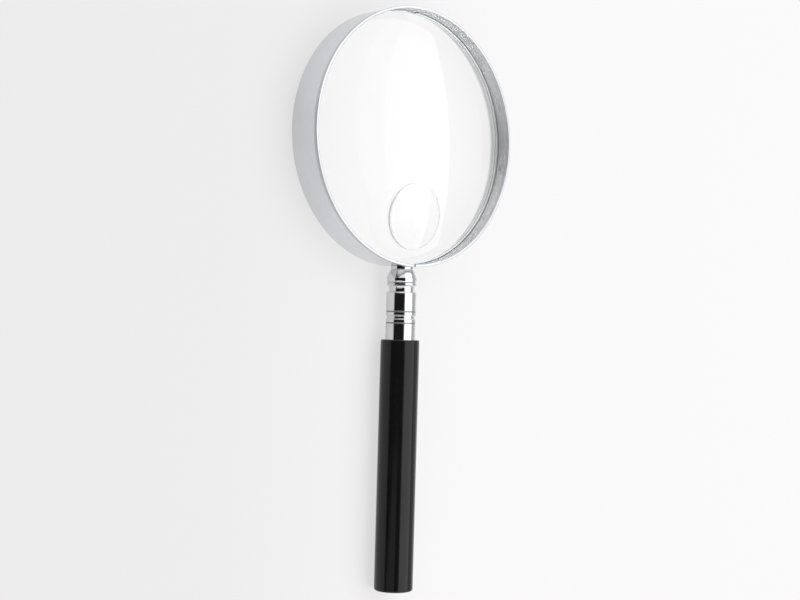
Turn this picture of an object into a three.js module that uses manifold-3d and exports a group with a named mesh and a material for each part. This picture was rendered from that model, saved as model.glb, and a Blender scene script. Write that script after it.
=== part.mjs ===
// A round hand lens on a straight handle, lying face up.
//
// +Z is the lens axis and points out of the front face, and the handle runs along +X.
// The origin is at the middle of the lens's length, on the surface that it lies on.
// Lengths are millimetres, angles are radians, and every piece is its own closed mesh.
//
// The hoop is a strip bent round the lens, open by a narrow split where it meets the handle.
// Each end carries half of a stud. A domed collar holds the two halves together, and the
// handle's ferrule screws on to the stud's thread behind it.

import * as THREE from 'three';
import { mergeVertices } from 'three/addons/utils/BufferGeometryUtils.js';
import Module from 'manifold-3d';

const wasm = await Module();
wasm.setup();

// ------------------------------------------------------------------ driving dimensions

// Hoop: a thin strip with a rolled bead along its front edge
const hoopRadius = 46.5;          // outside of the bead
const hoopDepth = 14;             // rear edge to front edge
const stripThickness = 0.5;
const beadProud = 0.3;            // how far the bead stands out of the strip
const beadHeight = 1.6;           // the bead along the lens axis
const beadThickness = 1.0;        // the bead across, outside to inside
const beadRound = 0.35;           // rounding of the front edge
const splitGap = 0.5;             // between the two ends of the strip

// Main lens: equally convex on both faces, held between two spring wire rings
const lensClearance = 0.3;        // lens edge to strip
const lensEdge = 2.2;             // thickness at the edge
const frontRecess = 2;            // from the hoop's front edge down to the lens's middle
const rearRecess = 1;             // from the hoop's rear edge up to the lens's middle
const lensTurn = THREE.MathUtils.degToRad(4.2);   // how far the lens sits turned in the hoop

// Strong segment: a small lens cemented to the front face, towards the handle
const segmentRadius = 12;
const segmentInset = 5.1;         // its rim from the edge of the lens
const segmentEdge = 1.2;          // thickness at its edge
const segmentCurve = 72;          // radius of its front face
const cementGap = 0.1;

// Wire rings that hold the lens
const wireRadius = 0.3;
const wireClearance = 0.08;       // to the strip and to the lens
const wireOpening = 5;            // gap between a ring's two ends

// Split stud with a round thread
const studRadius = 3;             // plain part, and the crest of the thread
const threadPitch = 1;
const threadHeight = 0.5;
const threadTurns = 7.5;
const threadClearance = 0.2;      // between the stud's thread and the bush's
const studTip = 0.5;              // chamfered end of the stud

// Neck, from the hoop to the handle
const saddleRadius = 4.1;
const saddleThickness = 1.1;
const boreClearance = 0.2;        // stud to the plain bores on it
const seatGap = 0.1;              // between pieces pressed face to face
const collarRadius = 5.35;
const collarFoot = 4.1;           // radius where the dome starts
const collarDome = 3;             // length of the rising dome
const collarBulge = 0.12;         // how far the dome swells out of a straight cone
const collarLand = 0.85;          // full-width part
const collarNose = 0.85;          // rounded end
const collarNoseDrop = 0.55;
const washerRadius = 5.35;
const washerThickness = 0.8;
const washerChamfer = 0.2;

// Ferrule: a spun tube with a waisted nose and rolled grooves
const ferruleRadius = 5.4;
const ferruleWall = 0.6;
const noseRadius = 5.15;
const noseTaper = 1.3;            // from the nose's rim to the waist
const waistRadius = 4.5;
const waistLength = 0.8;
const shoulderLength = 0.75;      // from the waist up to full width
const bushOverlap = 0.1;          // thread on the stud before the bush's mouth
const crimpWidth = 1.7;           // wide groove, rolled in behind the bush
const crimpFloor = 0.7;           // its flat bottom
const crimpDepth = 0.35;
const lineSpacing = 2.05;         // each fine groove from the middle of the wide one
const lineWidth = 0.5;
const lineFloor = 0.1;
const lineDepth = 0.2;
const ferruleShown = 19.45;       // from the nose's rim to the handle
const ferruleTail = 14;           // inside the handle

// Handle: a straight tube with a plug in its end
const handleWall = 1.4;
const handleLength = 90;
const handleTopRound = 0.5;
const handleEndRound = 0.7;
const handleFit = 0.2;            // between the bore and what is pressed into it
const plugLength = 6;
const plugRecess = 0.3;

// Facets
const hoopFacets = 80;
const lensFacets = 56;
const segmentFacets = 32;
const wireFacets = 6;
const neckFacets = 32;
const threadFacets = 20;
const threadRowsPerTurn = 6;
const arcSteps = 3;

// ------------------------------------------------------------------ what follows from them

const halfDepth = hoopDepth / 2;
const stripOuter = hoopRadius - beadProud;
const stripInner = stripOuter - stripThickness;
const beadInner = hoopRadius - beadThickness;
const beadBase = halfDepth - beadHeight;

const lensRadius = stripInner - lensClearance;
const lensFrontVertex = halfDepth - frontRecess;
const lensRearVertex = rearRecess - halfDepth;
const lensSag = (lensFrontVertex - lensRearVertex - lensEdge) / 2;
const lensCurve = (lensRadius ** 2 + lensSag ** 2) / (2 * lensSag);
const lensFrontEdge = lensFrontVertex - lensSag;
const lensRearEdge = lensRearVertex + lensSag;
const segmentOffset = lensRadius - segmentInset - segmentRadius;

const saddleStart = stripOuter + seatGap;
const saddleEnd = saddleStart + saddleThickness;
const collarStart = saddleEnd + seatGap;
const collarEnd = collarStart + collarDome + collarLand + collarNose;
const washerStart = collarEnd + seatGap;
const washerEnd = washerStart + washerThickness;
const noseStart = washerEnd + seatGap;
const waistStart = noseStart + noseTaper;
const waistEnd = waistStart + waistLength;
const barrelStart = waistEnd + shoulderLength;

const boreRadius = studRadius + boreClearance;
const ferruleInner = ferruleRadius - ferruleWall;
const bushStart = barrelStart + seatGap;
const bushEnd = bushStart + threadTurns * threadPitch;
const threadStart = bushStart - bushOverlap;
const threadEnd = threadStart + threadTurns * threadPitch;
const studEnd = threadEnd + studTip;
const crimpMiddle = bushEnd + seatGap + crimpWidth / 2;

const handleStart = noseStart + ferruleShown;
const handleEnd = handleStart + handleLength;
const ferruleEnd = handleStart + ferruleTail;
const handleBore = ferruleRadius + handleFit;
const handleRadius = handleBore + handleWall;

const overallLength = hoopRadius + handleEnd;

// ------------------------------------------------------------------ finishes

function finish(color, roughness, metalness, extra = {}) {
  return new THREE.MeshStandardMaterial({ color, roughness, metalness, ...extra });
}

const satinChrome = finish(0xc6c7ca, 0.32, 1);
const polishedChrome = finish(0xdcdde0, 0.07, 1);
const springSteel = finish(0x8f9296, 0.35, 1);
const brass = finish(0xc9a65a, 0.3, 1);
const opticalGlass = finish(0xf7fbfb, 0.02, 0, { transparent: true, opacity: 0.3 });
const blackPlastic = finish(0x0c0c0d, 0.14, 0);

// ------------------------------------------------------------------ geometry helpers

// Points [radius, height] of a quarter of an ellipse between two corners of a profile. It sets
// off from the first one either 'radially' or 'along' the axis, and arrives square to that.
function quarterArc(from, to, setsOff, steps = arcSteps) {
  const points = [];
  for (let i = 0; i <= steps; i++) {
    const angle = (i / steps) * Math.PI / 2;
    const early = Math.sin(angle);
    const late = 1 - Math.cos(angle);
    const [shareR, shareH] = setsOff === 'radially' ? [early, late] : [late, early];
    points.push([from[0] + (to[0] - from[0]) * shareR, from[1] + (to[1] - from[1]) * shareH]);
  }
  return points;
}

// Points of a line between two corners of a profile that swells outwards by `bulge`
function swelledLine(from, to, bulge, steps) {
  const points = [];
  for (let i = 0; i <= steps; i++) {
    const share = i / steps;
    const swell = 4 * bulge * share * (1 - share);
    points.push([from[0] + (to[0] - from[0]) * share + swell, from[1] + (to[1] - from[1]) * share]);
  }
  return points;
}

// Points on a spherical face, from the axis out to `radius`. The face's vertex is at `height`,
// and a positive curve falls away from it.
function sphericalFace(height, curve, radius, steps) {
  const points = [];
  for (let i = 0; i <= steps; i++) {
    const r = (radius * i) / steps;
    const fall = Math.abs(curve) - Math.sqrt(curve ** 2 - r ** 2);
    points.push([r, height - Math.sign(curve) * fall]);
  }
  return points;
}

// A solid of revolution about +Z. The profile lists [radius, height] so that the material is
// on its left, and starts and ends on the axis or closes on itself.
function turnedAboutZ(profile, facets, closes = false) {
  const outline = closes ? [...profile, profile[0]] : profile;
  const points = outline.map(([r, h]) => new THREE.Vector2(r, h));
  return new THREE.LatheGeometry(points, facets).rotateX(Math.PI / 2);
}

// The same about +X, for the neck and the handle: heights become places along X.
function turnedAboutX(profile, facets, closes = false) {
  return turnedAboutZ(profile, facets, closes).rotateY(Math.PI / 2);
}

// A body about +X whose rows are { x, r, threaded }. A threaded row's radius follows a round
// right-handed thread, with r as its crest. Rows that close on themselves make a ring.
function threadedBody(rows, closes) {
  const positions = [];
  const index = [];
  for (const { x, r, threaded } of rows) {
    for (let k = 0; k < threadFacets; k++) {
      const angle = (2 * Math.PI * k) / threadFacets;
      const phase = (2 * Math.PI * x) / threadPitch - angle;
      const radius = threaded ? r - (threadHeight / 2) * (1 - Math.cos(phase)) : r;
      positions.push(x, radius * Math.cos(angle), radius * Math.sin(angle));
    }
  }
  const strips = closes ? rows.length : rows.length - 1;
  for (let row = 0; row < strips; row++) {
    const here = row * threadFacets;
    const next = ((row + 1) % rows.length) * threadFacets;
    for (let k = 0; k < threadFacets; k++) {
      const after = (k + 1) % threadFacets;
      index.push(here + k, here + after, next + k);
      index.push(here + after, next + after, next + k);
    }
  }
  const geometry = new THREE.BufferGeometry();
  geometry.setAttribute('position', new THREE.Float32BufferAttribute(positions, 3));
  geometry.setIndex(index);
  return geometry;
}

function threadRows(start, turns, crest) {
  const rows = [];
  const count = turns * threadRowsPerTurn;
  for (let i = 0; i <= count; i++) {
    rows.push({ x: start + (i * threadPitch) / threadRowsPerTurn, r: crest, threaded: true });
  }
  return rows;
}

// A block between two corners, for cutting.
function block(low, high) {
  const size = high.map((value, axis) => value - low[axis]);
  const middle = high.map((value, axis) => (value + low[axis]) / 2);
  return new THREE.BoxGeometry(...size).translate(...middle);
}

function toSolid(geometry) {
  const bare = geometry.clone();
  bare.deleteAttribute('normal');
  bare.deleteAttribute('uv');
  const merged = mergeVertices(bare, 1e-4);
  const corners = merged.index.array;
  const kept = [];
  for (let i = 0; i < corners.length; i += 3) {
    const [a, b, c] = [corners[i], corners[i + 1], corners[i + 2]];
    if (a !== b && b !== c && c !== a) kept.push(a, b, c);
  }
  return new wasm.Manifold(new wasm.Mesh({
    numProp: 3,
    vertProperties: new Float32Array(merged.attributes.position.array),
    triVerts: new Uint32Array(kept),
  }));
}

function toGeometry(solid) {
  const mesh = solid.getMesh();
  const geometry = new THREE.BufferGeometry();
  geometry.setAttribute('position', new THREE.BufferAttribute(mesh.vertProperties, 3));
  geometry.setIndex(new THREE.BufferAttribute(mesh.triVerts, 1));
  geometry.computeVertexNormals();
  return geometry;
}

function cut(geometry, tool) {
  return toGeometry(toSolid(geometry).subtract(toSolid(tool)));
}

function piece(name, geometry, material) {
  const mesh = new THREE.Mesh(geometry, material);
  mesh.name = name;
  return mesh;
}

// ------------------------------------------------------------------ hoop and lens

// The slot that parts the hoop's two ends, and the stud's two halves, along the plane y = 0
function splitSlot(reach) {
  return block([0, -splitGap / 2, -hoopDepth], [reach, splitGap / 2, hoopDepth]);
}

function rimBand() {
  const profile = [
    [stripInner, -halfDepth],
    [stripOuter, -halfDepth],
    [stripOuter, beadBase],
    ...quarterArc([stripOuter, beadBase], [hoopRadius, beadBase + beadProud], 'radially').slice(1),
    ...quarterArc([hoopRadius, halfDepth - beadRound], [hoopRadius - beadRound, halfDepth], 'along'),
    ...quarterArc([beadInner + beadRound, halfDepth], [beadInner, halfDepth - beadRound], 'radially'),
    [beadInner, beadBase],
    [stripInner, beadBase - (stripInner - beadInner)],
  ];
  const band = turnedAboutZ(profile, hoopFacets, true);
  return piece('rim_band', cut(band, splitSlot(2 * hoopRadius)), satinChrome);
}

function mainLens() {
  const rear = sphericalFace(lensRearVertex, -lensCurve, lensRadius, 6);
  const front = sphericalFace(lensFrontVertex, lensCurve, lensRadius, 6);
  const profile = [...rear, ...front.reverse()];
  return piece('main_lens', turnedAboutZ(profile, lensFacets), opticalGlass);
}

// The segment sits on the lens's front face, square to it, so it is built about an axis
// through that face's centre of curvature and tilted about that centre.
function bifocalSegment() {
  const seat = lensCurve + cementGap;
  const seatRim = Math.sqrt(seat ** 2 - segmentRadius ** 2);
  const crown = segmentCurve - Math.sqrt(segmentCurve ** 2 - segmentRadius ** 2);
  const under = sphericalFace(seat, seat, segmentRadius, 3);
  const over = sphericalFace(seatRim + segmentEdge + crown, segmentCurve, segmentRadius, 4);
  const geometry = turnedAboutZ([...under, ...over.reverse()], segmentFacets);
  const segment = piece('bifocal_segment', geometry, opticalGlass);
  const tilt = new THREE.Group();
  tilt.position.z = lensFrontVertex - lensCurve;
  tilt.rotation.y = Math.asin(segmentOffset / lensCurve);
  tilt.add(segment);
  return tilt;
}

// A round wire sprung against the strip, with its opening turned away from the handle
function lensRing(name, height) {
  const ringRadius = stripInner - wireRadius - wireClearance;
  const section = [];
  for (let k = 0; k < wireFacets; k++) {
    const angle = (2 * Math.PI * (k + 0.5)) / wireFacets;
    section.push([ringRadius + wireRadius * Math.cos(angle), height + wireRadius * Math.sin(angle)]);
  }
  const ring = turnedAboutZ(section, lensFacets, true);
  const opening = block([-2 * hoopRadius, -wireOpening / 2, -hoopDepth], [0, wireOpening / 2, hoopDepth]);
  return piece(name, cut(ring, opening), springSteel);
}

// ------------------------------------------------------------------ neck, on the hoop

// One half of the split stud: side -1 is the half towards -Y, side 1 the half towards +Y
function studHalf(name, side) {
  const foot = stripOuter + seatGap / 2;
  const rows = [
    { x: foot, r: 0 },
    { x: foot, r: studRadius },
    { x: threadStart - threadPitch / 2, r: studRadius },
    ...threadRows(threadStart, threadTurns, studRadius),
    { x: studEnd, r: studRadius - threadHeight - studTip / 2 },
    { x: studEnd, r: 0 },
  ];
  const reach = 2 * studEnd;
  const otherHalf = side < 0
    ? block([0, -splitGap / 2, -reach], [reach, reach, reach])
    : block([0, -reach, -reach], [reach, splitGap / 2, reach]);
  return piece(name, cut(threadedBody(rows, false), otherHalf), satinChrome);
}

// A round plate, hollowed underneath to sit on the curved strip
function saddlePlate() {
  const profile = [
    [boreRadius, saddleStart - saddleThickness],
    [saddleRadius, saddleStart - saddleThickness],
    [saddleRadius, saddleEnd],
    [boreRadius, saddleEnd],
  ];
  const plate = turnedAboutX(profile, neckFacets, true);
  const hollow = [[0, -hoopDepth], [saddleStart, -hoopDepth], [saddleStart, hoopDepth], [0, hoopDepth]];
  return piece('saddle_plate', cut(plate, turnedAboutZ(hollow, 2 * hoopFacets)), polishedChrome);
}

function clampCollar() {
  const domeTop = collarStart + collarDome;
  const landEnd = domeTop + collarLand;
  const profile = [
    [boreRadius, collarStart],
    ...swelledLine([collarFoot, collarStart], [collarRadius, domeTop], collarBulge, 2 * arcSteps),
    ...quarterArc([collarRadius, landEnd], [collarRadius - collarNoseDrop, collarEnd], 'along'),
    [boreRadius, collarEnd],
  ];
  return piece('clamp_collar', turnedAboutX(profile, neckFacets, true), polishedChrome);
}

function neckWasher() {
  const profile = [
    [boreRadius, washerStart],
    [washerRadius - washerChamfer, washerStart],
    [washerRadius, washerStart + washerChamfer],
    [washerRadius, washerEnd - washerChamfer],
    [washerRadius - washerChamfer, washerEnd],
    [boreRadius, washerEnd],
  ];
  return piece('neck_washer', turnedAboutX(profile, neckFacets, true), springSteel);
}

// ------------------------------------------------------------------ handle

// A rolled groove in a wall of the ferrule, with sloping sides and a flat floor
function groove(wall, middle, width, floor, depth) {
  return [
    [wall, middle - width / 2],
    [wall - depth, middle - floor / 2],
    [wall - depth, middle + floor / 2],
    [wall, middle + width / 2],
  ];
}

// The wide groove also shows on the inside, where it holds the bush
function ferrule() {
  const noseInner = waistRadius - ferruleWall;
  const profile = [
    [boreRadius, noseStart],
    [noseRadius, noseStart],
    ...quarterArc([noseRadius, noseStart], [waistRadius, waistStart], 'radially').slice(1),
    ...quarterArc([waistRadius, waistEnd], [ferruleRadius, barrelStart], 'radially'),
    ...groove(ferruleRadius, crimpMiddle - lineSpacing, lineWidth, lineFloor, lineDepth),
    ...groove(ferruleRadius, crimpMiddle, crimpWidth, crimpFloor, crimpDepth),
    ...groove(ferruleRadius, crimpMiddle + lineSpacing, lineWidth, lineFloor, lineDepth),
    [ferruleRadius, ferruleEnd],
    [ferruleInner, ferruleEnd],
    ...groove(ferruleInner, crimpMiddle, crimpWidth, crimpFloor, crimpDepth).reverse(),
    [ferruleInner, barrelStart],
    [noseInner, waistEnd],
    [noseInner, noseStart + ferruleWall],
    [boreRadius, noseStart + ferruleWall],
  ];
  return piece('ferrule', turnedAboutX(profile, neckFacets, true), polishedChrome);
}

function ferruleBush() {
  const outside = ferruleInner - boreClearance;
  const crest = studRadius + threadClearance;
  const rows = [
    { x: bushStart, r: outside },
    { x: bushEnd, r: outside },
    ...threadRows(bushStart, threadTurns, crest).reverse(),
  ];
  return piece('ferrule_bush', threadedBody(rows, true), brass);
}

function handleGrip() {
  const topFlat = handleRadius - handleTopRound;
  const endFlat = handleRadius - handleEndRound;
  const profile = [
    [handleBore, handleStart],
    ...quarterArc([topFlat, handleStart], [handleRadius, handleStart + handleTopRound], 'radially'),
    ...quarterArc([handleRadius, handleEnd - handleEndRound], [endFlat, handleEnd], 'along'),
    [handleBore, handleEnd],
  ];
  return piece('handle_grip', turnedAboutX(profile, neckFacets, true), blackPlastic);
}

function endPlug() {
  const radius = handleBore - handleFit;
  const start = handleEnd - plugRecess - plugLength;
  const profile = [
    [0, start],
    [radius, start],
    [radius, handleEnd - plugRecess],
    [0, handleEnd - plugRecess],
  ];
  return piece('end_plug', turnedAboutX(profile, neckFacets), blackPlastic);
}

// ------------------------------------------------------------------ assembly

const lensGroup = new THREE.Group();
lensGroup.rotation.z = lensTurn;
lensGroup.add(mainLens(), bifocalSegment());

const headGroup = new THREE.Group();
headGroup.add(
  rimBand(),
  lensGroup,
  lensRing('lens_ring_front', lensFrontEdge + wireRadius + wireClearance),
  lensRing('lens_ring_rear', lensRearEdge - wireRadius - wireClearance),
  studHalf('stud_half_near', -1),
  studHalf('stud_half_far', 1),
  saddlePlate(),
  clampCollar(),
);

const handleGroup = new THREE.Group();
handleGroup.add(neckWasher(), ferrule(), ferruleBush(), handleGrip(), endPlug());

const handLens = new THREE.Group();
handLens.position.set(hoopRadius - overallLength / 2, 0, Math.max(halfDepth, handleRadius));
handLens.add(headGroup, handleGroup);

export default handLens;
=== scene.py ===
"""Looks of a round hand lens: a chromed hoop round a bifocal lens, on a screwed-on black handle.

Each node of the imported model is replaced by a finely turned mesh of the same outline, with its
own procedural material. Places and sizes that the frame holds are read from it, and the small
ones that it can't tell, such as a rounding, are named below. Lengths are metres.

The hoop and lens are turned about the lens axis (+Z, through `hoop_centre`). Everything from the
neck on is turned about the handle's axis (+X, through `neck_axis`).
"""
import math

import bmesh
import bpy
from mathutils import Matrix, Vector


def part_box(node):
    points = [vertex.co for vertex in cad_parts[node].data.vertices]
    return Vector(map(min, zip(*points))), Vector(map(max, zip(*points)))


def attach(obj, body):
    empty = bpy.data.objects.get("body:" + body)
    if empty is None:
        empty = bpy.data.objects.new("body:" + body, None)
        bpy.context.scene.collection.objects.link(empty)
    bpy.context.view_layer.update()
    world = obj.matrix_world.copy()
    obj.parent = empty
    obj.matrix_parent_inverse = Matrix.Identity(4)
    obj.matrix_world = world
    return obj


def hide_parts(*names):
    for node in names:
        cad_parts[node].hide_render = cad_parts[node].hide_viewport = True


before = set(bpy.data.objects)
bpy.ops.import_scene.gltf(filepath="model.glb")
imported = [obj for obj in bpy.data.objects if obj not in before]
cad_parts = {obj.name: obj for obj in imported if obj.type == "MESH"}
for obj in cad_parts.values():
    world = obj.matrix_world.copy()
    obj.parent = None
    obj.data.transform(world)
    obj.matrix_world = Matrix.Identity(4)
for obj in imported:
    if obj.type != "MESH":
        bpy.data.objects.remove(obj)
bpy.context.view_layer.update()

MM = 0.001

# ---------------------------------------------------------------- sizes

# Hoop section
STRIP_THICKNESS = 0.5 * MM
BEAD_PROUD = 0.3 * MM
BEAD_HEIGHT = 1.6 * MM
BEAD_THICKNESS = 1.0 * MM
BEAD_SHOULDER = 0.6 * MM
BEAD_ROUND = 0.28 * MM
STRIP_INNER_ROUND = 0.12 * MM
STRIP_OUTER_ROUND = 0.18 * MM
HALF_SPLIT = 0.25 * MM

# Lens and its strong segment
LENS_CLEARANCE = 0.3 * MM
LENS_EDGE = 2.2 * MM
FRONT_RECESS = 2.0 * MM
REAR_RECESS = 1.0 * MM
LENS_CHAMFER = 0.2 * MM
LENS_TURN = math.radians(4.2)
SEGMENT_RADIUS = 12.0 * MM
SEGMENT_INSET = 5.1 * MM
SEGMENT_EDGE = 1.2 * MM
SEGMENT_CURVE = 72.0 * MM
SEGMENT_ROUND = 0.22 * MM
CEMENT_GAP = 0.03 * MM
WIRE_CLEARANCE = 0.08 * MM
WIRE_HALF_OPENING = 2.5 * MM

# Split stud and bush
THREAD_PITCH = 1.0 * MM
THREAD_HEIGHT = 0.5 * MM
THREAD_TURNS = 7.5
THREAD_CLEARANCE = 0.2 * MM
STUD_TIP = 0.5 * MM

# Neck and ferrule
BORE_CLEARANCE = 0.2 * MM
COLLAR_FOOT = 4.1 * MM
COLLAR_DOME = 3.0 * MM
COLLAR_BULGE = 0.12 * MM
COLLAR_LAND = 0.85 * MM
COLLAR_NOSE_DROP = 0.55 * MM
FERRULE_WALL = 0.6 * MM
NOSE_RADIUS = 5.15 * MM
NOSE_TAPER = 1.3 * MM
WAIST_RADIUS = 4.5 * MM
WAIST_LENGTH = 0.8 * MM
SHOULDER_LENGTH = 0.75 * MM
CRIMP_WIDTH = 1.7 * MM
CRIMP_FLOOR = 0.7 * MM
CRIMP_DEPTH = 0.35 * MM
BUSH_TO_CRIMP = 0.1 * MM
LINE_SPACING = 2.05 * MM
LINE_WIDTH = 0.5 * MM
LINE_FLOOR = 0.1 * MM
LINE_DEPTH = 0.2 * MM

# Handle
HANDLE_WALL = 1.4 * MM
HANDLE_TOP_ROUND = 0.5 * MM
HANDLE_END_ROUND = 0.7 * MM
PLUG_INNER_ROUND = 0.3 * MM
PLUG_OUTER_ROUND = 0.25 * MM

# Roundings of small turned edges
SMALL_ROUND = 0.1 * MM
EDGE_ROUND = 0.15 * MM

# Fineness
HOOP_SEGMENTS = 320
SEGMENT_SEGMENTS = 160
NECK_SEGMENTS = 128
THREAD_SEGMENTS = 72
THREAD_ROWS = 18
ARC_STEP = math.radians(12)
GUARD = 0.05 * MM
SHARP_ANGLE = math.radians(35)


def corners(node):
    return [Vector(corner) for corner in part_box(node)]


rim_low, rim_high = corners("rim_band")
hoop_radius = (rim_high.y - rim_low.y) / 2
half_depth = (rim_high.z - rim_low.z) / 2
hoop_centre = Vector((rim_low.x + hoop_radius, 0, (rim_low.z + rim_high.z) / 2))
neck_axis = Vector((0, 0, hoop_centre.z))

strip_outer = hoop_radius - BEAD_PROUD
strip_inner = strip_outer - STRIP_THICKNESS
lens_radius = strip_inner - LENS_CLEARANCE
lens_front = half_depth - FRONT_RECESS
lens_rear = REAR_RECESS - half_depth
lens_sag = (lens_front - lens_rear - LENS_EDGE) / 2
lens_curve = (lens_radius ** 2 + lens_sag ** 2) / (2 * lens_sag)
segment_offset = lens_radius - SEGMENT_INSET - SEGMENT_RADIUS


def turned_radius(node):
    """Radius of a node that is turned about the handle's axis."""
    low, high = corners(node)
    return (high.z - low.z) / 2


stud_radius = turned_radius("stud_half_far")
bore_radius = stud_radius + BORE_CLEARANCE


# ---------------------------------------------------------------- outlines

def round_corner(corner, back, on, radius):
    """Points of the arc that rounds a corner, whose two sides run off along back and on."""
    half = back.angle(on) / 2
    centre = corner + (back + on).normalized() * (radius / math.sin(half))
    reach = radius / math.tan(half)
    first = corner + back * reach - centre
    last = corner + on * reach - centre
    turn = first.angle(last)
    steps = max(2, math.ceil(turn / ARC_STEP))
    points = []
    for step in range(steps + 1):
        part = turn * step / steps
        mixed = first * math.sin(turn - part) + last * math.sin(part)
        points.append(centre + mixed / math.sin(turn))
    return points


def rounded(outline):
    """Outline of [radius, height] points, from corners that may carry a rounding as a third
    number."""
    points = []
    for i, (r, h, *rounding) in enumerate(outline):
        corner = Vector((r, h))
        if not rounding:
            points.append(corner)
            continue
        back = Vector(outline[i - 1][:2]) - corner
        on = Vector(outline[(i + 1) % len(outline)][:2]) - corner
        points += round_corner(corner, back.normalized(), on.normalized(), rounding[0])
    return points


def guarded(points, closes):
    """The same outline with a point close to each end of its long straight stretches, so that
    smooth shading stays true along them."""
    after = points[1:] + (points[:1] if closes else [])
    done = []
    for here, there in zip(points, after):
        done.append(here)
        if (there - here).length > 4 * GUARD:
            step = (there - here).normalized() * GUARD
            done += [here + step, there - step]
    return done if closes else done + points[-1:]


def quarter_arc(start, end, sets_off, steps=10):
    """Points of a quarter of an ellipse. It leaves start radially or along the axis, and
    arrives at end square to that."""
    points = []
    for i in range(steps + 1):
        angle = math.pi / 2 * i / steps
        early, late = math.sin(angle), 1 - math.cos(angle)
        share_r, share_h = (early, late) if sets_off == "radially" else (late, early)
        points.append((start[0] + (end[0] - start[0]) * share_r,
                       start[1] + (end[1] - start[1]) * share_h))
    return points


def swelled_line(start, end, bulge, steps=12):
    """Points of a line between two corners that swells outwards by bulge."""
    points = []
    for i in range(steps + 1):
        share = i / steps
        swell = 4 * bulge * share * (1 - share)
        points.append((start[0] + (end[0] - start[0]) * share + swell,
                       start[1] + (end[1] - start[1]) * share))
    return points


def spherical_face(vertex, curve, radius, steps):
    """Points on a sphere's cap from the axis out. A positive curve falls away from vertex."""
    points = []
    for i in range(steps + 1):
        r = radius * i / steps
        fall = abs(curve) - math.sqrt(curve ** 2 - r ** 2)
        points.append((r, vertex - math.copysign(fall, curve)))
    return points


# ---------------------------------------------------------------- meshes

def finished(name, work):
    """Turn a bmesh into an object with clean normals and smooth shading."""
    bmesh.ops.remove_doubles(work, verts=work.verts, dist=1e-7)
    bmesh.ops.recalc_face_normals(work, faces=work.faces)
    mesh = bpy.data.meshes.new(name)
    work.to_mesh(mesh)
    work.free()
    mesh.shade_smooth()
    mesh.set_sharp_from_angle(angle=SHARP_ANGLE)
    piece = bpy.data.objects.new(name, mesh)
    bpy.context.scene.collection.objects.link(piece)
    return piece


def skin(work, rings, closes):
    """Quads between neighbouring rings of vertices."""
    for ring, following in zip(rings, rings[1:]):
        count = len(ring) if closes else len(ring) - 1
        for i in range(count):
            j = (i + 1) % len(ring)
            work.faces.new((ring[i], ring[j], following[j], following[i]))


def about_z(r, h, angle):
    return hoop_centre + Vector((r * math.cos(angle), r * math.sin(angle), h))


def about_x(r, h, angle):
    return neck_axis + Vector((h, r * math.cos(angle), r * math.sin(angle)))


def revolved(outline, place, segments, closes=True, half_gap=0.0, gap_side=0.0):
    """A turned solid as a bmesh. With a half_gap, it is cut off square on both sides of a slot
    that lies at the angle gap_side."""
    points = guarded([Vector(p) for p in outline], closes)
    work = bmesh.new()
    rings = []
    for step in range(segments + 1):
        ring = []
        for r, h in points:
            start = math.asin(half_gap / r) if half_gap else 0.0
            angle = gap_side + start + 2 * (math.pi - start) * step / segments
            ring.append(work.verts.new(place(r, h, angle)))
        rings.append(ring)
    skin(work, rings, closes)
    if half_gap:
        work.faces.new(rings[0])
        work.faces.new(rings[-1])
    return work


def turned(name, outline, place=about_x, segments=NECK_SEGMENTS, closes=True, **gap):
    return finished(name, revolved(outline, place, segments, closes, **gap))


def threaded(rows, closes):
    """A body about the handle's axis from rows (height, radius, is threaded), as a bmesh. A
    threaded row follows a round right-handed thread whose crest is the radius."""
    work = bmesh.new()
    rings = []
    for height, radius, is_threaded in rows:
        ring = []
        for k in range(THREAD_SEGMENTS):
            angle = 2 * math.pi * k / THREAD_SEGMENTS
            phase = 2 * math.pi * (height - hoop_centre.x) / THREAD_PITCH - angle
            drop = THREAD_HEIGHT / 2 * (1 - math.cos(phase)) if is_threaded else 0.0
            ring.append(work.verts.new(about_x(radius - drop, height, angle)))
        rings.append(ring)
    skin(work, rings + rings[:1] if closes else rings, True)
    return work


def thread_rows(start, crest):
    count = round(THREAD_TURNS * THREAD_ROWS)
    return [(start + i * THREAD_PITCH / THREAD_ROWS, crest, True) for i in range(count + 1)]


# ---------------------------------------------------------------- shader helpers

def add(tree, kind, values=None, **settings):
    """Add a node. Each value is a plain number or tuple, or an output socket to link."""
    made = tree.nodes.new(kind)
    for key, value in settings.items():
        setattr(made, key, value)
    for key, value in (values or {}).items():
        if isinstance(value, bpy.types.NodeSocket):
            tree.links.new(value, made.inputs[key])
        else:
            made.inputs[key].default_value = value
    return made


def maths(tree, operation, a, b=0.0):
    return add(tree, "ShaderNodeMath", {0: a, 1: b}, operation=operation).outputs[0]


def vector_maths(tree, operation, a, b=(0.0, 0.0, 0.0)):
    return add(tree, "ShaderNodeVectorMath", {0: a, 1: b}, operation=operation).outputs[0]


def ranged(tree, value, low, high, to_low, to_high, smooth=False):
    kind = "SMOOTHSTEP" if smooth else "LINEAR"
    values = {"Value": value, "From Min": low, "From Max": high, "To Min": to_low,
              "To Max": to_high}
    return add(tree, "ShaderNodeMapRange", values, interpolation_type=kind).outputs[0]


def noise(tree, vector, scale, detail=2.0, roughness=0.5, w=None):
    values = {"Vector": vector, "Scale": scale, "Detail": detail, "Roughness": roughness}
    if w is None:
        return add(tree, "ShaderNodeTexNoise", values).outputs[0]
    values["W"] = w
    return add(tree, "ShaderNodeTexNoise", values, noise_dimensions="4D").outputs[0]


def colour_mix(tree, share, a, b):
    made = add(tree, "ShaderNodeMix", {"Factor": share}, data_type="RGBA")
    for key, value in ((6, a), (7, b)):
        if isinstance(value, bpy.types.NodeSocket):
            tree.links.new(value, made.inputs[key])
        else:
            made.inputs[key].default_value = (*value, 1.0)
    return made.outputs[2]


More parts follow.
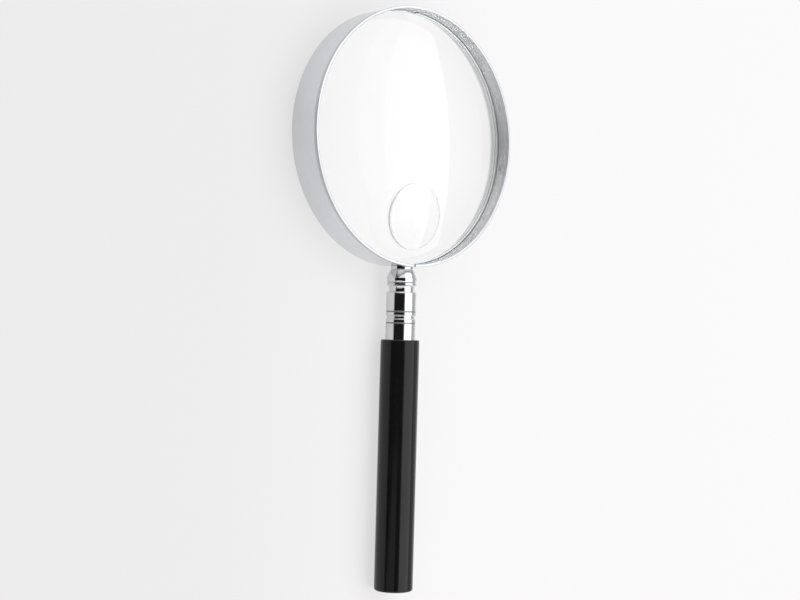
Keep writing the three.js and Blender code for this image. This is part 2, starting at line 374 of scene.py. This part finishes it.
def bump(tree, height, strength, distance, normal=None):
    values = {"Height": height, "Strength": strength, "Distance": distance}
    if normal is not None:
        values["Normal"] = normal
    return add(tree, "ShaderNodeBump", values).outputs[0]


def started(name):
    material = bpy.data.materials.new(name)
    material.use_nodes = True
    material.node_tree.nodes.clear()
    return material, material.node_tree


def surfaced(tree, shader):
    add(tree, "ShaderNodeOutputMaterial", {"Surface": shader})


def object_place(tree):
    return add(tree, "ShaderNodeTexCoord").outputs["Object"]


# ---------------------------------------------------------------- materials

def round_hoop(tree, stretch):
    """Noise coordinates whose grain runs round the lens axis: a vector that changes slowly
    round the hoop and fast along its axis, and a W that changes fast with radius."""
    place = vector_maths(tree, "SUBTRACT", object_place(tree), tuple(hoop_centre))
    flat = vector_maths(tree, "MULTIPLY", place, (1.0, 1.0, 0.0))
    length = add(tree, "ShaderNodeVectorMath", {0: flat}, operation="LENGTH").outputs["Value"]
    vector = vector_maths(tree, "MULTIPLY", place, (1.0, 1.0, stretch))
    return vector, maths(tree, "MULTIPLY", length, stretch)


def round_neck(tree, stretch):
    """The same for grain that runs round the handle's axis."""
    place = vector_maths(tree, "SUBTRACT", object_place(tree), tuple(neck_axis))
    flat = vector_maths(tree, "MULTIPLY", place, (0.0, 1.0, 1.0))
    length = add(tree, "ShaderNodeVectorMath", {0: flat}, operation="LENGTH").outputs["Value"]
    vector = vector_maths(tree, "MULTIPLY", place, (stretch, 1.0, 1.0))
    return vector, maths(tree, "MULTIPLY", length, stretch)


def metal(name, colour, shade, grain, rough, rough_spread, grain_depth, haze_scale=90.0):
    """Turned or rolled metal: fine grain round its axis, faint haze and a few rubbed patches."""
    material, tree = started(name)
    vector, w = grain(tree, 60.0)
    fine = noise(tree, vector, 160.0, detail=3.0, roughness=0.7, w=w)
    broad = noise(tree, vector, 14.0, detail=2.0, w=w)
    place = object_place(tree)
    haze = noise(tree, place, haze_scale, detail=4.0, roughness=0.6)
    patches = ranged(tree, noise(tree, place, haze_scale * 3, detail=3.0), 0.55, 0.75, 0.0, 1.0)
    tint = colour_mix(tree, ranged(tree, haze, 0.3, 0.7, 0.0, 1.0), colour, shade)
    tint = colour_mix(tree, ranged(tree, broad, 0.4, 0.68, 0.0, 0.4), tint, shade)
    roughness = ranged(tree, haze, 0.3, 0.7, rough - rough_spread, rough + rough_spread)
    roughness = maths(tree, "ADD", roughness, ranged(tree, fine, 0.3, 0.7, 0.0, rough_spread))
    roughness = maths(tree, "ADD", roughness, maths(tree, "MULTIPLY", patches, rough_spread))
    normal = bump(tree, fine, 0.35, grain_depth)
    normal = bump(tree, haze, 0.2, grain_depth * 4, normal)
    shader = add(tree, "ShaderNodeBsdfPrincipled", {
        "Base Color": tint, "Metallic": 1.0, "Roughness": roughness, "Normal": normal})
    surfaced(tree, shader.outputs[0])
    return material


MIRRORED_THROUGH_GLASS = 0.35


def lets_lamps_through(tree, shader, tint):
    """Mix in a clear shader for light on its way to what lies behind the glass. A share of what
    metal mirrors goes straight through too, where real glass would pass it on inside."""
    path = add(tree, "ShaderNodeLightPath").outputs
    on_its_way = maths(tree, "MAXIMUM", path["Is Shadow Ray"], path["Is Diffuse Ray"])
    mirrored = maths(tree, "MULTIPLY", path["Is Glossy Ray"], MIRRORED_THROUGH_GLASS)
    on_its_way = maths(tree, "MAXIMUM", on_its_way, mirrored)
    clear = add(tree, "ShaderNodeBsdfTransparent", {"Color": (*tint, 1.0)})
    values = {0: on_its_way, 1: shader.outputs[0], 2: clear.outputs[0]}
    surfaced(tree, add(tree, "ShaderNodeMixShader", values).outputs[0])


def glass(name, clear, smeared):
    """Clear lens glass with very faint wipe marks."""
    material, tree = started(name)
    place = object_place(tree)
    wiped = vector_maths(tree, "MULTIPLY", place, (70.0, 240.0, 70.0))
    smear = noise(tree, wiped, 1.0, detail=4.0, roughness=0.6)
    tint = colour_mix(tree, ranged(tree, smear, 0.3, 0.7, 0.0, 1.0), clear, smeared)
    normal = bump(tree, smear, 0.05, 0.01 * MM)
    shader = add(tree, "ShaderNodeBsdfPrincipled", {
        "Base Color": tint, "Roughness": 0.0, "IOR": 1.5, "Transmission Weight": 1.0,
        "Normal": normal})
    lets_lamps_through(tree, shader, (1.0, 1.0, 1.0))
    return material


def ground_glass():
    """The frosted edge of the lens and of its segment."""
    material, tree = started("ground_glass_edge")
    grain = noise(tree, object_place(tree), 9000.0, detail=3.0)
    roughness = ranged(tree, grain, 0.3, 0.7, 0.4, 0.6)
    normal = bump(tree, grain, 0.4, 0.02 * MM)
    shader = add(tree, "ShaderNodeBsdfPrincipled", {
        "Base Color": (0.92, 0.93, 0.93, 1.0), "Roughness": roughness, "IOR": 1.5,
        "Transmission Weight": 0.35, "Normal": normal})
    lets_lamps_through(tree, shader, (0.8, 0.81, 0.81))
    return material


def black_plastic():
    """Polished black plastic tube, with long faint rubbing marks and a little dust."""
    material, tree = started("black_handle_plastic")
    place = object_place(tree)
    along = vector_maths(tree, "MULTIPLY", place, (40.0, 1400.0, 1400.0))
    rubbed = noise(tree, along, 1.0, detail=4.0, roughness=0.65)
    soft = noise(tree, place, 55.0, detail=3.0)
    dust = ranged(tree, noise(tree, place, 2600.0, detail=1.0), 0.74, 0.8, 0.0, 1.0)
    tint = colour_mix(tree, ranged(tree, soft, 0.3, 0.7, 0.0, 1.0),
                      (0.0045, 0.0045, 0.005), (0.0075, 0.0075, 0.008))
    tint = colour_mix(tree, maths(tree, "MULTIPLY", dust, 0.12), tint, (0.3, 0.3, 0.29))
    roughness = ranged(tree, rubbed, 0.35, 0.75, 0.07, 0.16)
    roughness = maths(tree, "ADD", roughness, maths(tree, "MULTIPLY", dust, 0.2))
    normal = bump(tree, rubbed, 0.12, 0.01 * MM)
    normal = bump(tree, soft, 0.15, 0.25 * MM, normal)
    shader = add(tree, "ShaderNodeBsdfPrincipled", {
        "Base Color": tint, "Roughness": roughness, "IOR": 1.355, "Normal": normal})
    surfaced(tree, shader.outputs[0])
    return material


satin_chrome = metal("satin_chrome_band", (0.78, 0.795, 0.82), (0.71, 0.727, 0.75), round_hoop,
                     0.22, 0.04, 0.002 * MM, haze_scale=40.0)
bead_chrome = metal("satin_chrome_bead", (0.6, 0.61, 0.63), (0.53, 0.54, 0.56), round_hoop,
                    0.28, 0.05, 0.002 * MM, haze_scale=40.0)
# Painted shade: the hoop's inside wall takes a darker, greener copy of the band's chrome.
inside_chrome_painted_shade = metal("chrome_inside_painted_shade", (0.64, 0.662, 0.662), (0.54, 0.562, 0.562), round_hoop,
                     0.24, 0.05, 0.002 * MM, haze_scale=40.0)
# Painted shade: the cut ends at the split are near black, standing in for the deep shade inside the
# slit.
cut_end_shade = metal("cut_end_painted_shade", (0.1, 0.1, 0.1), (0.05, 0.05, 0.05), round_hoop, 0.45, 0.05,
                 0.003 * MM)
neck_chrome = metal("polished_chrome_neck", (0.66, 0.665, 0.67), (0.6, 0.605, 0.61), round_neck,
                    0.045, 0.015, 0.0006 * MM)
# Darker chrome for the two line grooves: grime with painted shade in their recess.
groove_chrome_grime_and_shade = metal("dull_chrome_groove_grime_and_shade", (0.42, 0.42, 0.43), (0.32, 0.32, 0.33), round_neck,
                      0.34, 0.06, 0.002 * MM)
plated_steel = metal("plated_steel_thread", (0.55, 0.55, 0.54), (0.42, 0.42, 0.42), round_neck,
                     0.24, 0.06, 0.003 * MM)
spring_wire = metal("spring_steel_wire", (0.86, 0.87, 0.88), (0.78, 0.79, 0.8), round_hoop,
                    0.5, 0.05, 0.002 * MM)
spring_washer = metal("spring_steel_washer", (0.62, 0.62, 0.62), (0.54, 0.54, 0.54), round_neck,
                      0.05, 0.015, 0.0006 * MM)
brass = metal("turned_brass", (0.72, 0.52, 0.22), (0.55, 0.38, 0.15), round_neck,
              0.26, 0.06, 0.004 * MM)
lens_glass = glass("lens_glass", (0.996, 0.999, 0.998), (0.985, 0.99, 0.989))
segment_glass = glass("segment_glass", (0.955, 0.958, 0.955), (0.94, 0.943, 0.94))
frosted_edge = ground_glass()
handle_plastic = black_plastic()


def settle(piece, node, body, slot, *materials):
    """Give a piece its materials, and stand it in for its node on that node's body."""
    for material in materials:
        piece.data.materials.append(material)
    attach(piece, body)
    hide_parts(node)


# ---------------------------------------------------------------- hoop and lens

# Places of the hoop's further materials: the bead's finish, the inside wall's painted shade, and the
# painted shade of the cut ends at the split
BEAD, INSIDE, CUT_END = 1, 2, 3


def make_hoop():
    bead_inner = hoop_radius - BEAD_THICKNESS
    bead_base = half_depth - BEAD_HEIGHT
    shoulder = quarter_arc((strip_outer, bead_base), (hoop_radius, bead_base + BEAD_SHOULDER),
                           "radially")
    outline = rounded([
        (strip_inner, -half_depth, STRIP_INNER_ROUND),
        (strip_outer, -half_depth, STRIP_OUTER_ROUND),
        *shoulder,
        (hoop_radius, half_depth, BEAD_ROUND),
        (bead_inner, half_depth, BEAD_ROUND),
        (bead_inner, bead_base, SMALL_ROUND),
        (strip_inner, bead_base - (strip_inner - bead_inner), SMALL_ROUND),
    ])
    hoop = turned("rim_hoop", outline, about_z, HOOP_SEGMENTS, half_gap=HALF_SPLIT)
    settle(hoop, "rim_band", "head", "satin_chrome", satin_chrome, bead_chrome, inside_chrome_painted_shade,
           cut_end_shade)
    for face in hoop.data.polygons:
        place = face.center - hoop_centre
        # The cut ends at the split get the painted shade of the slit.
        if place.x > 0 and abs(place.y) < 1.5 * HALF_SPLIT:
            face.material_index = CUT_END
        elif place.z > bead_base:
            face.material_index = BEAD
        # The inside wall gets the chrome with painted shade.
        elif place.xy.length < strip_inner + STRIP_THICKNESS / 4:
            face.material_index = INSIDE


def make_lens():
    reach = lens_radius - LENS_CHAMFER
    rear = spherical_face(lens_rear, -lens_curve, reach, 40)
    front = spherical_face(lens_front, lens_curve, reach, 40)
    rear_edge = lens_rear + lens_sag
    edge = [(lens_radius, rear_edge + LENS_CHAMFER), (lens_radius, rear_edge + LENS_EDGE - LENS_CHAMFER)]
    lens = turned("lens_blank", rear + edge + front[::-1], about_z, HOOP_SEGMENTS, closes=False)
    settle(lens, "main_lens", "head", "optical_glass", lens_glass, frosted_edge)
    for face in lens.data.polygons:
        off_axis = face.center - hoop_centre
        face.material_index = int(off_axis.xy.length > reach)


def make_segment():
    seat = lens_curve + CEMENT_GAP
    seat_rim = math.sqrt(seat ** 2 - SEGMENT_RADIUS ** 2)
    inset = SEGMENT_RADIUS - SEGMENT_ROUND
    under = spherical_face(seat, seat, SEGMENT_RADIUS, 16)
    crown = SEGMENT_CURVE - math.sqrt(SEGMENT_CURVE ** 2 - inset ** 2)
    top = seat_rim + SEGMENT_EDGE
    rounding = quarter_arc((SEGMENT_RADIUS, top - SEGMENT_ROUND), (inset, top), "along")
    over = spherical_face(top + crown, SEGMENT_CURVE, inset, 24)
    outline = under + rounding + over[-2::-1]

    tilt = Matrix.Rotation(math.asin(segment_offset / lens_curve), 4, "Y")
    turn = Matrix.Rotation(LENS_TURN, 4, "Z")
    pivot = Matrix.Translation((0, 0, lens_front - lens_curve))
    seated = Matrix.Translation(hoop_centre) @ turn @ pivot @ tilt
    segment = turned("lens_segment", outline, lambda r, h, angle: seated @ Vector(
        (r * math.cos(angle), r * math.sin(angle), h)), SEGMENT_SEGMENTS, closes=False)
    settle(segment, "bifocal_segment", "head", "optical_glass", segment_glass, frosted_edge)
    back = seated.inverted()
    for face in segment.data.polygons:
        off_axis = (back @ face.center).xy.length
        face.material_index = int(off_axis > SEGMENT_RADIUS - 0.1 * SEGMENT_ROUND)


def make_lens_ring(name, node):
    low, high = corners(node)
    wire_radius = (high.z - low.z) / 2
    ring_radius = strip_inner - WIRE_CLEARANCE - wire_radius
    height = (low.z + high.z) / 2 - hoop_centre.z
    section = []
    for k in range(16):
        angle = 2 * math.pi * k / 16
        section.append((ring_radius + wire_radius * math.cos(angle),
                        height + wire_radius * math.sin(angle)))
    ring = turned(name, section, about_z, HOOP_SEGMENTS, half_gap=WIRE_HALF_OPENING,
                  gap_side=math.pi)
    settle(ring, node, "head", "spring_steel", spring_wire)


# ---------------------------------------------------------------- neck

def make_stud_half(name, node, side):
    low, high = corners(node)
    foot, tip = low.x, high.x
    thread_start = tip - STUD_TIP - THREAD_TURNS * THREAD_PITCH
    rows = [
        (foot, 0.0, False),
        (foot, stud_radius, False),
        (thread_start - THREAD_PITCH / 2, stud_radius, False),
        *thread_rows(thread_start, stud_radius),
        (tip, stud_radius - THREAD_HEIGHT - STUD_TIP / 2, False),
        (tip, 0.0, False),
    ]
    work = threaded(rows, False)
    bmesh.ops.remove_doubles(work, verts=work.verts, dist=1e-7)
    cut = bmesh.ops.bisect_plane(
        work, geom=work.verts[:] + work.edges[:] + work.faces[:], dist=1e-8,
        plane_co=(0, side * HALF_SPLIT, 0), plane_no=(0, -side, 0), clear_outer=True)
    edges = [part for part in cut["geom_cut"] if isinstance(part, bmesh.types.BMEdge)]
    bmesh.ops.triangle_fill(work, edges=edges, use_beauty=True)
    settle(finished(name, work), node, "head", "plated_steel", plated_steel)


def make_saddle():
    low, high = corners("saddle_plate")
    outer = turned_radius("saddle_plate")
    flat = high.x
    outline = rounded([
        (bore_radius, low.x),
        (outer, low.x),
        (outer, flat, EDGE_ROUND),
        (bore_radius, flat, SMALL_ROUND),
    ])
    saddle = turned("saddle", outline)
    hollow = math.hypot(low.x - hoop_centre.x, outer)
    for vertex in saddle.data.vertices:
        surface = hoop_centre.x + math.sqrt(hollow ** 2 - vertex.co.y ** 2)
        share = (vertex.co.x - low.x) / (flat - low.x)
        vertex.co.x = surface + share * (flat - surface)
    settle(saddle, "saddle_plate", "head", "polished_chrome", neck_chrome)


def make_collar():
    low, high = corners("clamp_collar")
    radius = turned_radius("clamp_collar")
    dome_top = low.x + COLLAR_DOME
    land_end = dome_top + COLLAR_LAND
    outline = [
        (bore_radius, low.x),
        *swelled_line((COLLAR_FOOT, low.x), (radius, dome_top), COLLAR_BULGE),
        *quarter_arc((radius, land_end), (radius - COLLAR_NOSE_DROP, high.x), "along", 14),
        (bore_radius, high.x),
    ]
    collar = turned("domed_collar", outline)
    settle(collar, "clamp_collar", "head", "polished_chrome", neck_chrome)


def make_washer():
    low, high = corners("neck_washer")
    radius = turned_radius("neck_washer")
    outline = rounded([
        (bore_radius, low.x, SMALL_ROUND),
        (radius, low.x, SMALL_ROUND),
        (radius, high.x, SMALL_ROUND),
        (bore_radius, high.x, SMALL_ROUND),
    ])
    settle(turned("thin_washer", outline), "neck_washer", "washer", "spring_steel", spring_washer)


# ---------------------------------------------------------------- handle

def groove(wall, middle, width, floor, depth, steps=8):
    """Points of a rolled groove, whose sides run down to its flat floor in a smooth S."""
    side = (width - floor) / 2
    down = []
    for i in range(steps + 1):
        drop = depth / 2 * (1 - math.cos(math.pi * i / steps))
        down.append((drop, side * i / steps))
    first = [(wall - drop, middle - width / 2 + along) for drop, along in down]
    second = [(wall - drop, middle + width / 2 - along) for drop, along in down]
    return first + second[::-1]


def make_ferrule():
    low, high = corners("ferrule")
    radius = turned_radius("ferrule")
    inner = radius - FERRULE_WALL
    waist_start = low.x + NOSE_TAPER
    waist_end = waist_start + WAIST_LENGTH
    barrel_start = waist_end + SHOULDER_LENGTH
    crimp = corners("ferrule_bush")[1].x + BUSH_TO_CRIMP + CRIMP_WIDTH / 2
    outline = [
        (bore_radius, low.x),
        *quarter_arc((NOSE_RADIUS, low.x), (WAIST_RADIUS, waist_start), "radially"),
        *quarter_arc((WAIST_RADIUS, waist_end), (radius, barrel_start), "radially"),
        *groove(radius, crimp - LINE_SPACING, LINE_WIDTH, LINE_FLOOR, LINE_DEPTH),
        *groove(radius, crimp, CRIMP_WIDTH, CRIMP_FLOOR, CRIMP_DEPTH),
        *groove(radius, crimp + LINE_SPACING, LINE_WIDTH, LINE_FLOOR, LINE_DEPTH),
        (radius, high.x),
        (inner, high.x),
        *groove(inner, crimp, CRIMP_WIDTH, CRIMP_FLOOR, CRIMP_DEPTH)[::-1],
        (inner, barrel_start),
        (WAIST_RADIUS - FERRULE_WALL, waist_end),
        (WAIST_RADIUS - FERRULE_WALL, low.x + FERRULE_WALL),
        (bore_radius, low.x + FERRULE_WALL),
    ]
    tube = turned("ferrule_tube", outline)
    settle(tube, "ferrule", "handle", "polished_chrome", neck_chrome, groove_chrome_grime_and_shade)
    # The two line grooves get the darker chrome: grime with painted shade.
    for face in tube.data.polygons:
        off_line = abs(abs(face.center.x - crimp) - LINE_SPACING)
        face.material_index = int(off_line < LINE_WIDTH / 2)


def make_bush():
    low, high = corners("ferrule_bush")
    outside = turned_radius("ferrule_bush")
    rows = [(low.x, outside, False), (high.x, outside, False),
            *thread_rows(low.x, stud_radius + THREAD_CLEARANCE)[::-1]]
    bush = finished("threaded_bush", threaded(rows, True))
    settle(bush, "ferrule_bush", "handle", "brass", brass)


def make_grip():
    low, high = corners("handle_grip")
    radius = turned_radius("handle_grip")
    bore = radius - HANDLE_WALL
    outline = rounded([
        (bore, low.x, EDGE_ROUND),
        (radius, low.x, HANDLE_TOP_ROUND),
        (radius, high.x, HANDLE_END_ROUND),
        (bore, high.x, EDGE_ROUND),
    ])
    settle(turned("grip_tube", outline), "handle_grip", "handle", "black_plastic", handle_plastic)


def make_plug():
    low, high = corners("end_plug")
    radius = turned_radius("end_plug")
    outline = rounded([
        (0, low.x),
        (radius, low.x, PLUG_INNER_ROUND),
        (radius, high.x, PLUG_OUTER_ROUND),
        (0, high.x),
    ])
    plug = turned("grip_plug", outline, closes=False)
    settle(plug, "end_plug", "handle", "black_plastic", handle_plastic)


# ---------------------------------------------------------------- studio

FLOOR_REACH = 6.0
FLOOR_WHITE = 0.74
FLOOR_GLOW = 0.68       # share of the floor's seen brightness that no shadow falls on
GLOW_BEHIND_GLASS = 0.84
# Painted shade: the glow's colour is darker on the near side, away from the light.
NEAR_SIDE_SHADED_WHITE = (0.837, 0.827, 0.832)     # that share's colour away from the light
BACKDROP_WHITE = (0.962, 0.948, 0.953)
NEAR_FLOOR = 0.35       # from here out the floor turns into backdrop
FAR_FLOOR = 1.2
UNLIT_SIDE = -0.08      # across the handle, where the near side's shade ends
LIT_SIDE = 0.03         # and where the full white begins
# Painted reflection: beyond this the floor shows dark room colour to mirrored rays only.
PAPER_END = -0.16       # metal and plastic mirror a dark room beyond this
PAPER_FADE = 0.14
DARK_ROOM = 0.015
WINDOW_LEVEL = 0.5
WINDOW_SLANT = math.radians(333)
ROOM_BEYOND = 0.62
ROOM_SIDES = 1.2
BOX_TILT = math.radians(111)
BOX_DISTANCE = 0.8
BOX_WIDTH = 0.96
BOX_LENGTH = 1.6
BOX_POWER = 6.2


def make_floor():
    """Pale paper that takes part of each shadow, and turns into plain backdrop far out. Its shadowless
    glow carries painted shade on the side away from the light, and mirrors see it dark on the near side
    as a painted reflection.
    """
    work = bmesh.new()
    bmesh.ops.create_circle(work, cap_ends=True, radius=FLOOR_REACH, segments=64)
    floor = finished("floor", work)

    material, tree = started("pale_floor")
    place = object_place(tree)
    distance = add(tree, "ShaderNodeVectorMath", {0: place}, operation="LENGTH").outputs["Value"]
    across = add(tree, "ShaderNodeSeparateXYZ", {0: place}).outputs["Y"]
    path = add(tree, "ShaderNodeLightPath").outputs
    paper = add(tree, "ShaderNodeBsdfDiffuse", {"Color": (FLOOR_WHITE,) * 3 + (1.0,)})

    # Painted shade: the glow darkens towards the near side, away from the light.
    far = ranged(tree, distance, NEAR_FLOOR, FAR_FLOOR, 0.0, 1.0, smooth=True)
    lit = ranged(tree, across, UNLIT_SIDE, LIT_SIDE, 0.0, 1.0, smooth=True)
    lit = maths(tree, "MAXIMUM", lit, far)
    white = colour_mix(tree, lit, NEAR_SIDE_SHADED_WHITE, BACKDROP_WHITE)
    # Painted reflection: mirrored rays see the floor dark beyond the paper's end.
    ended = ranged(tree, across, PAPER_END, PAPER_END + PAPER_FADE, 1.0, 0.0, smooth=True)
    mirrored_end = maths(tree, "MULTIPLY", ended, path["Is Glossy Ray"])
    glow = add(tree, "ShaderNodeEmission", {
        "Color": colour_mix(tree, mirrored_end, white, (DARK_ROOM,) * 3)})

    share = ranged(tree, far, 0.0, 1.0, FLOOR_GLOW, 1.0)    # shadowless share by distance
    share = maths(tree, "MAXIMUM", share, mirrored_end)
    reflected = maths(tree, "MAXIMUM", path["Is Camera Ray"], path["Is Glossy Ray"])
    behind_glass = maths(tree, "MULTIPLY", path["Is Transmission Ray"], GLOW_BEHIND_GLASS)
    share = maths(tree, "MAXIMUM", maths(tree, "MULTIPLY", share, reflected), behind_glass)
    values = {0: share, 1: paper.outputs[0], 2: glow.outputs[0]}
    surfaced(tree, add(tree, "ShaderNodeMixShader", values).outputs[0])
    floor.data.materials.append(material)


def far_window(tree, along, round_the_neck):
    """A dim patch of the dark side, which shows as a faint strip low on the handle."""
    strength = ranged(tree, along, 0.06, 0.13, 0.0, WINDOW_LEVEL, smooth=True)
    slant = maths(tree, "ADD", round_the_neck, maths(tree, "MULTIPLY", along, WINDOW_SLANT))
    above = ranged(tree, slant, math.radians(56), math.radians(64), 0.0, 1.0, smooth=True)
    below = ranged(tree, round_the_neck, math.radians(50), math.radians(57), 1.0, 0.0,
                   smooth=True)
    return maths(tree, "MULTIPLY", strength, maths(tree, "MULTIPLY", above, below))


def make_world():
    """A pale room that is dark on the -Y side up to well overhead. The camera and what lies
    behind glass see plain backdrop instead."""
    world = bpy.data.worlds.new("studio")
    bpy.context.scene.world = world
    world.use_nodes = True
    tree = world.node_tree
    tree.nodes.clear()
    direction = add(tree, "ShaderNodeTexCoord").outputs["Generated"]
    parts = add(tree, "ShaderNodeSeparateXYZ", {0: direction}).outputs
    round_the_neck = maths(tree, "ARCTAN2", parts["Z"], maths(tree, "MULTIPLY", parts["Y"], -1.0))
    past_dark = ranged(tree, round_the_neck, math.radians(70), math.radians(80), 0.0, 1.0, True)
    sideways = ranged(tree, maths(tree, "ABSOLUTE", parts["X"]), 0.3, 0.55, 0.0, 1.0, True)
    beyond = ranged(tree, past_dark, 0.0, 1.0, DARK_ROOM, ROOM_BEYOND)
    level = maths(tree, "MAXIMUM", beyond, maths(tree, "MULTIPLY", sideways, ROOM_SIDES))
    level = maths(tree, "MAXIMUM", level, far_window(tree, parts["X"], round_the_neck))
    path = add(tree, "ShaderNodeLightPath").outputs
    seen = maths(tree, "MAXIMUM", path["Is Camera Ray"], path["Is Transmission Ray"])
    room = add(tree, "ShaderNodeBackground", {"Color": (1.0, 1.0, 1.0, 1.0), "Strength": level})
    white = add(tree, "ShaderNodeBackground", {"Color": (*BACKDROP_WHITE, 1.0)})
    values = {0: seen, 1: room.outputs[0], 2: white.outputs[0]}
    mixed = add(tree, "ShaderNodeMixShader", values)
    add(tree, "ShaderNodeOutputWorld", {"Surface": mixed.outputs[0]})


def make_softbox():
    """A rectangular lamp that faces the neck, tilted about the handle's axis from -Y."""
    lamp = bpy.data.lights.new("overhead_softbox", "AREA")
    lamp.shape = "RECTANGLE"
    lamp.size = BOX_LENGTH
    lamp.size_y = BOX_WIDTH
    lamp.energy = BOX_POWER
    box = bpy.data.objects.new("overhead_softbox", lamp)
    toward = Vector((0, -math.cos(BOX_TILT), math.sin(BOX_TILT)))
    box.location = neck_axis + toward * BOX_DISTANCE
    right = Vector((1, 0, 0))
    up = toward.cross(right)
    box.rotation_euler = Matrix((right, up, toward)).transposed().to_euler()
    bpy.context.scene.collection.objects.link(box)


CAMERA_AIM = Vector((0.3, -0.56, 7.0)) * MM
CAMERA_DISTANCE = 575.5 * MM
CAMERA_AZIMUTH = math.radians(-0.752)
CAMERA_ELEVATION = math.radians(48.66)
CAMERA_ROLL = math.radians(-1.585)
CAMERA_LENS = 72.0


def make_camera():
    """The handle runs down the picture, so the picture's top lies towards -X."""
    flat = math.cos(CAMERA_ELEVATION)
    forward = Vector((math.sin(CAMERA_AZIMUTH) * flat, math.cos(CAMERA_AZIMUTH) * flat,
                      -math.sin(CAMERA_ELEVATION)))
    up = Vector((-1, 0, 0))
    up = (up - forward * up.dot(forward)).normalized()
    up = Matrix.Rotation(CAMERA_ROLL, 3, forward) @ up
    data = bpy.data.cameras.new("camera")
    data.lens = CAMERA_LENS
    data.sensor_width = 36.0
    camera = bpy.data.objects.new("camera", data)
    camera.location = CAMERA_AIM - forward * CAMERA_DISTANCE
    camera.rotation_euler = Matrix((forward.cross(up), up, -forward)).transposed().to_euler()
    bpy.context.scene.collection.objects.link(camera)
    bpy.context.scene.camera = camera


# ---------------------------------------------------------------- the scene

make_hoop()
make_lens()
make_segment()
make_lens_ring("front_lens_wire", "lens_ring_front")
make_lens_ring("rear_lens_wire", "lens_ring_rear")
make_stud_half("stud_near_half", "stud_half_near", -1)
make_stud_half("stud_far_half", "stud_half_far", 1)
make_saddle()
make_collar()
make_washer()
make_ferrule()
make_bush()
make_grip()
make_plug()

make_floor()
make_world()
make_softbox()
make_camera()

scene = bpy.context.scene
scene.view_settings.view_transform = "Standard"
scene.cycles.use_denoising = True
